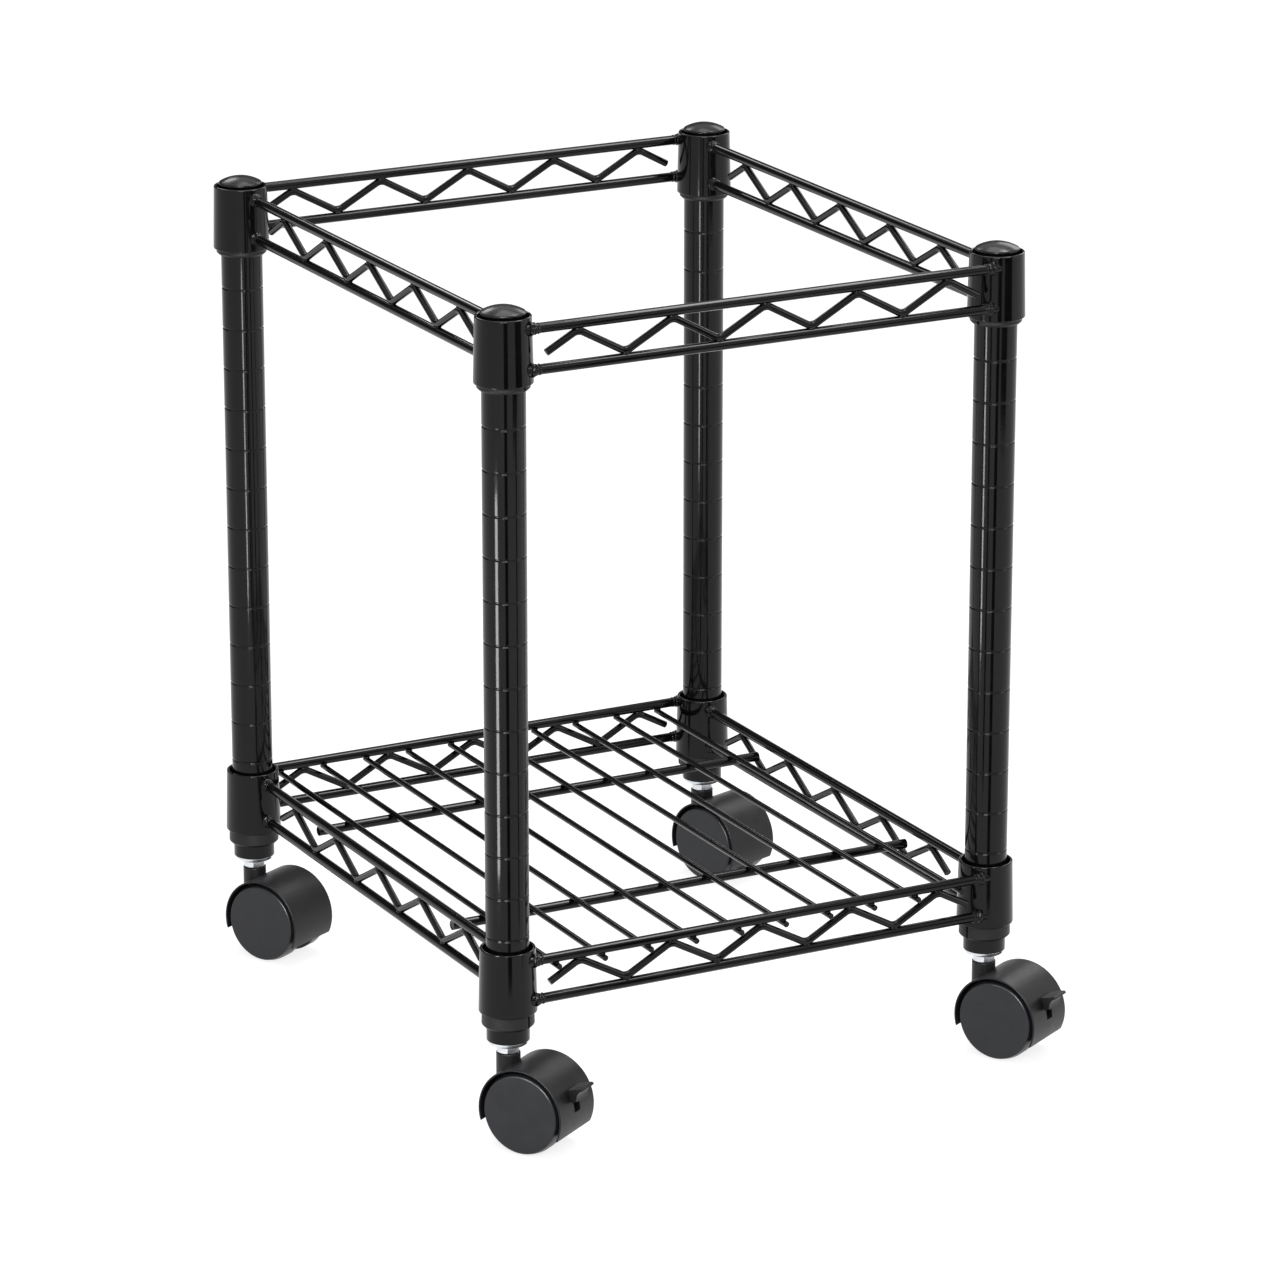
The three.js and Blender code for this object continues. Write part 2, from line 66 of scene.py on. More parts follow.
def pick(piece):
    bpy.ops.object.select_all(action="DESELECT")
    piece.select_set(True)
    bpy.context.view_layer.objects.active = piece


def closeUp():
    bpy.ops.mesh.select_all(action="SELECT")
    bpy.ops.mesh.remove_doubles(threshold=joinDistance)
    bpy.ops.mesh.normals_make_consistent(inside=False)
    bpy.ops.object.mode_set(mode="OBJECT")


def drawLine(name, points):
    # a plane merged to one corner is the pen, and every extrude draws one stretch
    bpy.ops.object.select_all(action="DESELECT")
    bpy.ops.mesh.primitive_plane_add(size=mm)
    piece = bpy.context.object
    piece.name = piece.data.name = name
    bpy.ops.object.mode_set(mode="EDIT")
    bpy.ops.mesh.merge(type="CENTER")
    bpy.ops.transform.translate(value=Vector(points[0]) * mm)
    for start, end in zip(points, points[1:]):
        stretch = (Vector(end) - Vector(start)) * mm
        bpy.ops.mesh.extrude_vertices_move(TRANSFORM_OT_translate={"value": stretch})
    return piece


def turnProfile(name, profile, sides, alongAxle=False):
    # (radius, distance) points turned about Z, or about Y for what turns on an axle
    points = [(r, d, 0) if alongAxle else (r, 0, d) for r, d in profile]
    piece = drawLine(name, points)
    bpy.ops.mesh.select_all(action="SELECT")
    axis = (0, 1, 0) if alongAxle else (0, 0, 1)
    bpy.ops.mesh.spin(steps=sides, angle=2 * math.pi, center=(0, 0, 0), axis=axis)
    closeUp()
    return piece


def turnRod(name, radius, start, end, sides, alongAxle=False):
    return turnProfile(name, [(0, start), (radius, start), (radius, end), (0, end)], sides, alongAxle)


def fillOutline(name, points):
    piece = drawLine(name, points + points[:1])
    bpy.ops.mesh.select_all(action="SELECT")
    bpy.ops.mesh.remove_doubles(threshold=joinDistance)
    bpy.ops.mesh.edge_face_add()
    return piece


def pullPlate(name, outline, thickness):
    # an outline of (x, z) points, pulled to both sides of the XZ plane
    piece = fillOutline(name, [(x, -thickness / 2, z) for x, z in outline])
    bpy.ops.mesh.extrude_region_move(TRANSFORM_OT_translate={"value": (0, thickness * mm, 0)})
    closeUp()
    return piece


def arc(radius, start, end, steps, middle=(0, 0)):
    angles = [math.radians(start + (end - start) * i / steps) for i in range(steps + 1)]
    return [(middle[0] + radius * math.cos(a), middle[1] + radius * math.sin(a)) for a in angles]


def bendWire(name, points, diameter, rings, bend=0.0, bendSteps=0):
    # a path with its bends rounded, thickened to a round wire
    wire = drawLine(name, points)
    bpy.ops.mesh.select_all(action="SELECT")
    if bend:
        bpy.ops.mesh.bevel(offset=bend * mm, offset_type="OFFSET", segments=bendSteps,
                           affect="VERTICES")
    bpy.ops.object.mode_set(mode="OBJECT")
    bpy.ops.object.convert(target="CURVE")
    wire.data.bevel_depth = diameter / 2 * mm
    wire.data.bevel_resolution = rings
    wire.data.use_fill_caps = True
    bpy.ops.object.convert(target="MESH")
    bpy.ops.object.mode_set(mode="EDIT")
    closeUp()
    return wire


def roundEdges(piece, width, steps=edges["steps"], sharp=edges["sharp"]):
    pick(piece)
    rounding = piece.modifiers.new("rounding", "BEVEL")
    rounding.width = width * mm
    rounding.segments = steps
    rounding.limit_method = "ANGLE"
    rounding.angle_limit = math.radians(sharp)
    bpy.ops.object.modifier_apply(modifier=rounding.name)


def carve(piece, tool, how="DIFFERENCE"):
    pick(piece)
    cut = piece.modifiers.new("cut", "BOOLEAN")
    cut.operation = how
    cut.object = tool
    cut.solver = "EXACT"
    bpy.ops.object.modifier_apply(modifier=cut.name)
    bpy.data.objects.remove(tool)


def smoothShade(piece, angle=edges["smooth"]):
    pick(piece)
    bpy.ops.object.shade_smooth_by_angle(angle=math.radians(angle))
    flats = piece.modifiers.new("flats", "WEIGHTED_NORMAL")
    flats.keep_sharp = True
    bpy.ops.object.modifier_apply(modifier=flats.name)


def copyOf(piece, name):
    pick(piece)
    bpy.ops.object.duplicate(linked=False)
    twin = bpy.context.object
    twin.name = twin.data.name = name
    return twin


def weldTogether(pieces):
    pick(pieces[0])
    for piece in pieces[1:]:
        piece.select_set(True)
    bpy.ops.object.join()
    return pieces[0]


def moveTo(piece, where, turn=0.0, tilt=0.0):
    # the place ends up in the mesh, and the object at the origin
    pick(piece)
    piece.location = where
    piece.rotation_euler = (0, tilt, turn)
    bpy.ops.object.transform_apply(location=True, rotation=True, scale=True)


def dress(piece, node, finish):
    piece.data.materials.clear()
    piece.data.materials.append(finish)
    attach(piece, bodyOf[node])
    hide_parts(node)


def placeCopy(pattern, name, node, finish, where, turn=0.0, tilt=0.0):
    piece = copyOf(pattern, name)
    moveTo(piece, where, turn, tilt)
    dress(piece, node, finish)


def standAt(corner, node):
    # on a post's axis, at the height where the node starts
    return Vector((postAxis[corner].x, postAxis[corner].y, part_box(node)[0].z))


# finishes, each with its slot in the record

noise = {"cloudDetail": 4, "grainDetail": 2, "toneBand": (0.35, 0.65), "glossBand": (0.3, 0.7)}


def mixFinish(look):
    finish = bpy.data.materials.new(look["name"])
    finish["slot"] = look["slot"]
    finish.use_nodes = True
    nodes, links = finish.node_tree.nodes, finish.node_tree.links
    shader = nodes["Principled BSDF"]
    shader.inputs["Metallic"].default_value = look["metallic"]
    shader.inputs["Specular IOR Level"].default_value = look["specular"]
    where = nodes.new("ShaderNodeTexCoord")

    cloud = nodes.new("ShaderNodeTexNoise")  # slow changes of tone and gloss
    cloud.inputs["Scale"].default_value = look["cloudsPerMetre"]
    cloud.inputs["Detail"].default_value = noise["cloudDetail"]
    links.new(where.outputs["Object"], cloud.inputs["Vector"])
    tones = nodes.new("ShaderNodeValToRGB")
    stops = tones.color_ramp.elements
    for stop, place, tone in zip(stops, noise["toneBand"], ("darkTone", "paleTone")):
        stop.position = place
        stop.color = (*look[tone], 1)
    links.new(cloud.outputs["Fac"], tones.inputs["Fac"])
    links.new(tones.outputs["Color"], shader.inputs["Base Color"])
    gloss = nodes.new("ShaderNodeMapRange")
    for end, share, rough in zip(("Min", "Max"), noise["glossBand"], look["roughness"]):
        gloss.inputs["From " + end].default_value = share
        gloss.inputs["To " + end].default_value = rough
    links.new(cloud.outputs["Fac"], gloss.inputs["Value"])
    links.new(gloss.outputs["Result"], shader.inputs["Roughness"])

    grain = nodes.new("ShaderNodeTexNoise")  # orange peel, moulded grain or polish
    grain.inputs["Scale"].default_value = look["grainsPerMetre"]
    grain.inputs["Detail"].default_value = noise["grainDetail"]
    links.new(where.outputs["Object"], grain.inputs["Vector"])
    bump = nodes.new("ShaderNodeBump")
    bump.inputs["Strength"].default_value = look["grainStrength"]
    bump.inputs["Distance"].default_value = look["grainDepth"] * mm
    links.new(grain.outputs["Fac"], bump.inputs["Height"])
    links.new(bump.outputs["Normal"], shader.inputs["Normal"])
    return finish


powderCoat = mixFinish({
    "name": "glossPowderCoat", "slot": "powder_coat", "metallic": 0.0, "specular": 0.22,
    "darkTone": (0.0026, 0.0026, 0.0028), "paleTone": (0.0036, 0.0036, 0.0039),
    "roughness": (0.08, 0.13), "cloudsPerMetre": 70, "grainsPerMetre": 420,
    "grainStrength": 0.16, "grainDepth": 0.05})
sleevePlastic = mixFinish({
    "name": "matteSleevePlastic", "slot": "sleeve_plastic", "metallic": 0.0, "specular": 0.26,
    "darkTone": (0.006, 0.006, 0.0065), "paleTone": (0.008, 0.008, 0.0088),
    "roughness": (0.42, 0.52), "cloudsPerMetre": 120, "grainsPerMetre": 1600,
    "grainStrength": 0.3, "grainDepth": 0.05})
capPlastic = mixFinish({
    "name": "semiGlossCapPlastic", "slot": "cap_plastic", "metallic": 0.0, "specular": 0.24,
    "darkTone": (0.0045, 0.0045, 0.0048), "paleTone": (0.006, 0.006, 0.0065),
    "roughness": (0.2, 0.27), "cloudsPerMetre": 150, "grainsPerMetre": 1500,
    "grainStrength": 0.2, "grainDepth": 0.04})
casterPlastic = mixFinish({
    "name": "satinCasterPlastic", "slot": "caster_plastic", "metallic": 0.0, "specular": 0.24,
    "darkTone": (0.0095, 0.0096, 0.0105), "paleTone": (0.0125, 0.0126, 0.0138),
    "roughness": (0.34, 0.42), "cloudsPerMetre": 110, "grainsPerMetre": 1800,
    "grainStrength": 0.3, "grainDepth": 0.05})
wheelPlastic = mixFinish({
    "name": "satinWheelPlastic", "slot": "wheel_plastic", "metallic": 0.0, "specular": 0.36,
    "darkTone": (0.0135, 0.0145, 0.0185), "paleTone": (0.0175, 0.0185, 0.0235),
    "roughness": (0.3, 0.38), "cloudsPerMetre": 90, "grainsPerMetre": 1800,
    "grainStrength": 0.35, "grainDepth": 0.05})
chrome = mixFinish({
    "name": "brightChrome", "slot": "chrome", "metallic": 1.0, "specular": 0.5,
    "darkTone": (0.64, 0.66, 0.69), "paleTone": (0.72, 0.74, 0.77),
    "roughness": (0.22, 0.3), "cloudsPerMetre": 200, "grainsPerMetre": 900,
    "grainStrength": 0.08, "grainDepth": 0.03})
axleSteel = mixFinish({
    "name": "plainAxleSteel", "slot": "axle_steel", "metallic": 1.0, "specular": 0.5,
    "darkTone": (0.42, 0.42, 0.44), "paleTone": (0.52, 0.52, 0.54),
    "roughness": (0.25, 0.36), "cloudsPerMetre": 180, "grainsPerMetre": 1400,
    "grainStrength": 0.2, "grainDepth": 0.04})
print("finishes mixed")


# posts: tubes with a rounded ring groove every inch

post = {"radius": 12.7, "bore": 11.5, "pitch": 25.4, "topGroove": 13.0, "plainFoot": 30.0,
        "grooveDepth": 0.5, "grooveHalf": 0.95, "grooveSteps": 8, "sides": 72}


def groovedPost(length):
    outside = [(post["bore"], 0), (post["radius"], 0)]
    first = length - post["topGroove"]
    count = int((first - post["plainFoot"]) / post["pitch"])
    for step in range(count, -1, -1):
        middle = first - step * post["pitch"]
        for i in range(post["grooveSteps"] + 1):
            across = 2 * i / post["grooveSteps"] - 1
            dip = post["grooveDepth"] * (1 + math.cos(math.pi * across)) / 2
            outside.append((post["radius"] - dip, middle + across * post["grooveHalf"]))
    outside += [(post["radius"], length), (post["bore"], length), (post["bore"], 0)]
    return turnProfile("postPattern", outside, post["sides"])


low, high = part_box("post_front_left")
pattern = groovedPost((high.z - low.z) / mm)
smoothShade(pattern)
for corner in corners:
    node = "post_" + corner
    placeCopy(pattern, "groovedPost_" + corner, node, powderCoat, standAt(corner, node))
bpy.data.objects.remove(pattern)
print("posts done")


# domed caps in the posts' upper ends

cap = {"rim": 13.0, "spigot": 11.2, "spigotLength": 16.0, "gap": 0.3, "edge": 1.4, "rise": 5.0,
       "rounding": 0.45, "sides": 72, "steps": 14}


def domedCap():
    brim = cap["spigotLength"] + cap["gap"]
    plug = [(0, 0), (cap["spigot"], 0), (cap["spigot"], brim)]
    height = cap["rise"] - cap["edge"]
    ball = (cap["rim"] ** 2 + height ** 2) / (2 * height)  # radius of the shallow dome
    start = math.degrees(math.acos(cap["rim"] / ball))
    dome = arc(ball, start, 90, cap["steps"], (0, brim + cap["rise"] - ball))
    piece = turnProfile("capPattern", plug + [(cap["rim"], brim)] + dome, cap["sides"])
    roundEdges(piece, cap["rounding"], sharp=edges["turnedSharp"])
    return piece


pattern = domedCap()
smoothShade(pattern)
for corner in corners:
    node = "cap_" + corner
    placeCopy(pattern, "domedCap_" + corner, node, capPlastic, standAt(corner, node))
bpy.data.objects.remove(pattern)
print("caps done")


# tapered collars of both frames

collar = {"height": 39.0, "topRadius": 16.25, "bottomRadius": 17.2, "wall": 1.6, "rounding": 0.75,
          "sides": 72}


def collarRadius(height):
    taper = collar["topRadius"] - collar["bottomRadius"]
    return collar["bottomRadius"] + taper * height / collar["height"]


def taperedCollar():
    outer = [(collarRadius(0), 0), (collarRadius(collar["height"]), collar["height"])]
    inner = [(r - collar["wall"], z) for r, z in reversed(outer)]
    piece = turnProfile("collarPattern", outer + inner + outer[:1], collar["sides"])
    roundEdges(piece, collar["rounding"])
    return piece


pattern = taperedCollar()
smoothShade(pattern)
for level in levels:
    for corner in corners:
        node = level + "_collar_" + corner
        placeCopy(pattern, level + "CollarRing_" + corner, node, powderCoat, standAt(corner, node))
bpy.data.objects.remove(pattern)
print("collars done")


# split sleeves that wedge the collars on the posts

sleeve = {"bore": 13.0, "height": 39.0, "gap": 0.3, "chamfer": 1.4, "beadHeight": 30.0, "beadHalf": 0.9,
          "bead": 0.45, "slit": 1.2, "rounding": 0.25, "steps": 70, "lift": {"top": 3.7, "shelf": 9.0},
          "seam": {"front_left": 22.9, "front_right": -76.8, "back_left": 157.1, "back_right": -103.2}}


def splitSleeve(name, lift):
    def outside(height):
        return collarRadius(height - lift) - collar["wall"] - sleeve["gap"]
    profile = [
        (sleeve["bore"], 0), (outside(0) - sleeve["chamfer"], 0),
        (outside(sleeve["chamfer"]), sleeve["chamfer"]), (outside(sleeve["height"]), sleeve["height"]),
        (sleeve["bore"], sleeve["height"]), (sleeve["bore"], sleeve["beadHeight"] + sleeve["beadHalf"]),
        (sleeve["bore"] - sleeve["bead"], sleeve["beadHeight"]),
        (sleeve["bore"], sleeve["beadHeight"] - sleeve["beadHalf"])]
    piece = fillOutline(name, [(r, 0, z) for r, z in profile])
    seam = 2 * math.asin(sleeve["slit"] / 2 / sleeve["bore"])
    bpy.ops.mesh.spin(steps=sleeve["steps"], angle=2 * math.pi - seam, center=(0, 0, 0), axis=(0, 0, 1))
    closeUp()
    roundEdges(piece, sleeve["rounding"], edges["fineSteps"])
    return piece


for level in levels:
    pattern = splitSleeve("sleevePattern", sleeve["lift"][level])
    smoothShade(pattern)
    for corner in corners:
        node = level + "_sleeve_" + corner
        turn = math.radians(sleeve["seam"][corner] - 90)  # a seam's angle counts from the front
        placeCopy(pattern, level + "SleeveClip_" + corner, node, sleevePlastic,
                  standAt(corner, node), turn)
    bpy.data.objects.remove(pattern)
print("sleeves done")


# truss rails: two wires, a zigzag between them, coped and welded to the collars

rail = {"wire": 6.0, "spacing": 23.9, "drop": 6.7, "sink": 0.4, "rings": 10}
zigzag = {"wire": 4.4, "bendStep": 30.0, "bends": 4, "tail": 20.0, "cornerRise": 1.0, "bend": 3.6,
          "bendSteps": 8, "sink": 0.4, "endRounding": 0.5, "rings": 7}
weld = {"ripples": ((0.2, 2.4, 4.3), (2.3, 1.9, 3.7), (4.6, 1.5, 3.4)), "lump": 0.3, "beadFineness": 3,
        "spot": (3.0, 2.5, 1.4), "spotLump": 0.2, "deckSpot": (1.5, 1.5, 0.9), "spotFineness": 2}


def weldBead(name, size, fineness, lump=0.0, seed=0):
    bpy.ops.object.select_all(action="DESELECT")
    bpy.ops.mesh.primitive_ico_sphere_add(subdivisions=fineness, radius=mm)
    bead = bpy.context.object
    bead.name = bead.data.name = name
    bpy.ops.object.mode_set(mode="EDIT")
    bpy.ops.transform.resize(value=size)
    if lump:
        bpy.ops.transform.vertex_random(offset=lump * mm, normal=1.0, seed=seed)
    bpy.ops.object.mode_set(mode="OBJECT")
    if lump:
        softer = bead.modifiers.new("softer", "SUBSURF")
        softer.levels = softer.render_levels = 1
        bpy.ops.object.modifier_apply(modifier=softer.name)
    return bead


def zigzagWire():
    touch = rail["wire"] / 2 + zigzag["wire"] / 2 - zigzag["sink"]
    upper = zigzag["cornerRise"] - touch
    lower = touch - rail["spacing"] - zigzag["cornerRise"]
    bends = range(-zigzag["bends"], zigzag["bends"] + 1)
    path = [(bend * zigzag["bendStep"], 0, lower if bend % 2 else upper) for bend in bends]
    slope = (upper - lower) / zigzag["bendStep"]
    tailX = path[-1][0] + zigzag["tail"]
    tailZ = upper - zigzag["tail"] * slope
    wire = bendWire("zigzagWire", [(-tailX, 0, tailZ)] + path + [(tailX, 0, tailZ)], zigzag["wire"],
                    zigzag["rings"], zigzag["bend"], zigzag["bendSteps"])
    roundEdges(wire, zigzag["endRounding"], edges["fineSteps"], edges["endSharp"])
    return wire


def trussRail(name, spacing, collarSide):
    # along X, the upper wire at Z = 0, the collars' axes collarSide to +Y
    bottom = rail["drop"] - collar["height"]
    wide, narrow = collarRadius(0) - rail["sink"], collarRadius(collar["height"]) - rail["sink"]
    parts = []
    for height in (0, -rail["spacing"]):
        wire = bendWire("railWire", [(-spacing / 2, 0, height), (spacing / 2, 0, height)], rail["wire"],
                        rail["rings"])
        for side in (-1, 1):
            cone = turnProfile("cope", [(0, bottom), (wide, bottom), (narrow, rail["drop"]),
                                        (0, rail["drop"])], collar["sides"])
            moveTo(cone, Vector((side * spacing / 2, collarSide, 0)) * mm)
            carve(wire, cone)
        parts.append(wire)
        # a lumpy bead in ripples where the wire runs onto each collar
        radius = collarRadius(height - bottom)
        reach = spacing / 2 - math.sqrt(radius ** 2 - collarSide ** 2)
        for side in (-1, 1):
            for out, half, across in weld["ripples"]:
                bead = weldBead("weldBead", (half, across, across), weld["beadFineness"], weld["lump"],
                                seed=len(parts))
                moveTo(bead, Vector((side * (reach - out), 0, height)) * mm)
                parts.append(bead)
    parts.append(zigzagWire())
    for bend in range(-zigzag["bends"], zigzag["bends"] + 1):
        spot = weldBead("spotWeld", weld["spot"], weld["spotFineness"], weld["spotLump"],
                        seed=len(parts))
        height = rail["wire"] / 2 - rail["spacing"] if bend % 2 else -rail["wire"] / 2
        moveTo(spot, Vector((bend * zigzag["bendStep"], 0, height)) * mm)
        parts.append(spot)
    welded = weldTogether(parts)
    welded.name = welded.data.name = name
    smoothShade(welded)
    return welded


frontOffset = 12.5  # a collar's axis behind the front rail
sideOffset = -2.5  # a collar's axis outside a side rail
longRail = trussRail("longRail", postSpacingX, frontOffset)
sideRail = trussRail("sideRail", postSpacingY, sideOffset)
railTurns = {"front": (longRail, 0), "back": (longRail, math.pi),
             "left": (sideRail, -math.pi / 2), "right": (sideRail, math.pi / 2)}
for level in levels:
    for side, (pattern, turn) in railTurns.items():
        node = level + "_rail_" + side
        low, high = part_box(node)
        middle = (low + high) / 2
        where = Vector((middle.x, middle.y, high.z - rail["wire"] / 2 * mm))
        placeCopy(pattern, level + "TrussRail_" + side, node, powderCoat, where, turn)
bpy.data.objects.remove(longRail)
bpy.data.objects.remove(sideRail)
print("rails done")


# deck of thin wires, on two stouter cross wires

deck = {"wire": 3.6, "pitch": 30.0, "perSide": 5, "length": 390.9, "railOffset": 192.15,
        "crossWire": 6.0, "crossLength": 309.6, "crossOffset": 94.0, "crossRounding": 0.8,
        "sink": 0.4, "endRounding": 1.5, "endSteps": 4, "rings": 6}


def wireDeck():
    # the deck wires' middles at Z = 0
    crossZ = deck["sink"] - deck["wire"] / 2 - deck["crossWire"] / 2
    half, radius, across = deck["length"] / 2, deck["wire"] / 2, deck["crossLength"] / 2
    crossings = (-deck["crossOffset"], deck["crossOffset"])
    rails = (-deck["railOffset"], deck["railOffset"])
    # spot welds: to the cross wires below a deck wire, and to the rails above it
    spots = [(y, -radius) for y in crossings] + [(y, radius) for y in rails]
    parts = []
    for i in range(-deck["perSide"], deck["perSide"]):
        x = (i + 0.5) * deck["pitch"]
        wire = bendWire("deckWire", [(x, -half, 0), (x, half, 0)], deck["wire"], deck["rings"])
        roundEdges(wire, deck["endRounding"], deck["endSteps"], edges["endSharp"])
        parts.append(wire)
        for y, z in spots:
            spot = weldBead("spotWeld", weld["deckSpot"], weld["spotFineness"])
            moveTo(spot, Vector((x, y, z)) * mm)
            parts.append(spot)
    for y in crossings:
        wire = bendWire("crossWire", [(-across, y, crossZ), (across, y, crossZ)], deck["crossWire"],
                        rail["rings"])
        roundEdges(wire, deck["crossRounding"], edges["fineSteps"], edges["endSharp"])
        parts.append(wire)
    return weldTogether(parts)


low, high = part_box("shelf_deck")
grille = wireDeck()
grille.name = grille.data.name = "wireDeck"
smoothShade(grille)
middle = (low + high) / 2
moveTo(grille, Vector((middle.x, middle.y, high.z - deck["wire"] / 2 * mm)))
dress(grille, "shelf_deck", powderCoat)
print("deck done")


# chrome sockets and stems under the posts

socket = {"bore": 5.05, "dish": 6.35, "flange": 12.0, "flangeHeight": 2.7, "taper": 0.3, "edge": 1.3,
          "edgeSteps": 6, "body": 11.2, "length": 30.0, "rounding": 0.2, "sides": 72}
stem = {"hexFlats": 12.7, "hexSides": 6, "hexHeight": 4.6, "chamfer": 0.75, "pin": 8.0,
        "pinLength": 22.0, "shank": 9.5, "shankLength": 24.0, "smooth": 25, "sides": 48}


def stemSocket():
    # the flange is a shallow cup with a rounded lower edge
    top = socket["flangeHeight"] + socket["length"]
    edge = socket["edge"]
    cup = arc(edge, -90, 0, socket["edgeSteps"],
              (socket["flange"] - socket["taper"] - edge, socket["taper"] + edge))
    piece = turnProfile("socketPattern", [(socket["bore"], 0), (socket["dish"], 0)] + cup + [
        (socket["flange"], socket["flangeHeight"]), (socket["body"], socket["flangeHeight"]),
        (socket["body"], top), (socket["bore"], top), (socket["bore"], 0)], socket["sides"])
    roundEdges(piece, socket["rounding"], edges["fineSteps"], edges["turnedSharp"])
    return piece


def hexStem():
    # pin, hexagon and shank, the pin's lower end at Z = 0
    hexStart = stem["pinLength"]
    hexEnd = hexStart + stem["hexHeight"]
    flat = stem["hexFlats"] / 2
    corner = flat / math.cos(math.pi / stem["hexSides"])
    nose = flat - stem["chamfer"] / 2
    hexagon = turnRod("hexagon", corner, hexStart, hexEnd, stem["hexSides"])
    lathe = turnProfile("chamfer", [
        (0, hexStart), (nose, hexStart), (corner, hexStart + stem["chamfer"]),
        (corner, hexEnd - stem["chamfer"]), (nose, hexEnd), (0, hexEnd)], stem["sides"])
    carve(hexagon, lathe, "INTERSECT")
    inside = (hexStart + hexEnd) / 2
    shankTop = hexEnd + stem["shankLength"]
    for radius, start, end in ((stem["pin"] / 2, 0, inside), (stem["shank"] / 2, inside, shankTop)):
        carve(hexagon, turnRod("rod", radius, start, end, stem["sides"]), "UNION")
    return hexagon


pattern = stemSocket()
smoothShade(pattern)
stemPattern = hexStem()
smoothShade(stemPattern, stem["smooth"])
for corner in corners:
    node = "stem_socket_" + corner
    placeCopy(pattern, "socketCup_" + corner, node, chrome, standAt(corner, node))
    node = "stem_" + corner
    placeCopy(stemPattern, "hexStem_" + corner, node, chrome, standAt(corner, node))
bpy.data.objects.remove(pattern)
bpy.data.objects.remove(stemPattern)
print("sockets and stems done")


# casters, about the axle: X runs back, Y along the axle, Z up

wheel = {"radius": 25.0, "face": 24.1, "taper": 4.2, "start": 7.75, "width": 11.75, "edge": 1.3,
         "edgeSteps": 6, "hub": 7.5, "rimWall": 4.5, "discWall": 4.0, "bore": 3.4, "boreDepth": 7.8,
         "rounding": 0.35, "sides": 96}
axle = {"radius": 3.0, "length": 30.5, "chamfer": 0.6, "sides": 32}
hood = {"inner": 26.5, "outer": 27.6, "width": 39.0, "back": -26.0, "front": 197.0, "steps": 60,
        "rounding": 0.45, "web": 13.0, "webDrop": 9.0, "neck": 7.15, "neckTop": 29.8,
        "neckRounding": 0.5, "trail": 18.6, "pinBore": 4.3, "pinEnd": 7.8, "axleBore": 3.3, "sides": 64}
lever = {"pivotBack": 10.0, "pivotUp": 4.5, "angle": 22.0, "thickness": 5.9, "armHeight": 5.6,
         "pin": 3.0, "pinReach": 1.8, "gap": 0.3, "reach": 38.2, "eyeSteps": 16, "rounding": 0.3}
pedal = {"root": 17.64, "length": 10.05, "width": 13.4, "foot": 3.6, "rise": 5.4, "tipRise": 4.2,
         "lip": 1.8, "lipThickness": 1.7, "hollow": 1.0, "hollowSteps": 8, "ribs": 4, "ribStep": 2.2,
         "ribHeight": 0.5, "ribShape": ((0.05, 0), (0.25, 1), (0.6, 1), (0.8, 0)), "rounding": 0.15}


def casterWheel():
    outer = wheel["start"] + wheel["width"]
    hollowEnd = outer - wheel["discWall"]
    boreEnd = wheel["start"] + wheel["boreDepth"]
    rimInside = wheel["radius"] - wheel["rimWall"]
    tread = [(wheel["radius"], wheel["start"]), (wheel["radius"], outer - wheel["taper"])]
    edge = arc(wheel["edge"], 0, 90, wheel["edgeSteps"],
               (wheel["face"] - wheel["edge"], outer - wheel["edge"]))
    inside = [(0, boreEnd), (wheel["bore"], boreEnd), (wheel["bore"], wheel["start"]),
              (wheel["hub"], wheel["start"]), (wheel["hub"], hollowEnd), (rimInside, hollowEnd),
              (rimInside, wheel["start"])]
    profile = inside + tread + edge + [(0, outer)]
    piece = turnProfile("wheelPattern", profile, wheel["sides"], alongAxle=True)
    roundEdges(piece, wheel["rounding"], edges["fineSteps"], edges["turnedSharp"])
    return piece


def axlePin():
    half = axle["length"] / 2
    radius = axle["radius"]
    nose = radius - axle["chamfer"]
    return turnProfile("axlePattern", [
        (0, -half), (nose, -half), (radius, axle["chamfer"] - half), (radius, half - axle["chamfer"]),
        (nose, half), (0, half)], axle["sides"], alongAxle=True)


def leverRoom():
    # the slot that the lever swings in
    half = lever["armHeight"] / 2 + lever["gap"]
    up = math.radians(lever["angle"])
    reach = lever["reach"]
    width = lever["thickness"] + 2 * lever["gap"]
    slot = pullPlate("slot", [
        (0, -half), (reach, -half),
        (reach * math.cos(up) - half * math.sin(up), reach * math.sin(up) + half * math.cos(up)),
        (-half * math.sin(up), half * math.cos(up))], width)
    pinRadius = lever["pin"] / 2 + lever["gap"]
    for name, radius, side in (("eyeRoom", half, width / 2),
                               ("pinRoom", pinRadius, width / 2 + lever["pinReach"])):
        carve(slot, turnRod(name, radius, -side, side, axle["sides"], alongAxle=True), "UNION")
    moveTo(slot, Vector((lever["pivotBack"], 0, lever["pivotUp"])) * mm)
    return slot


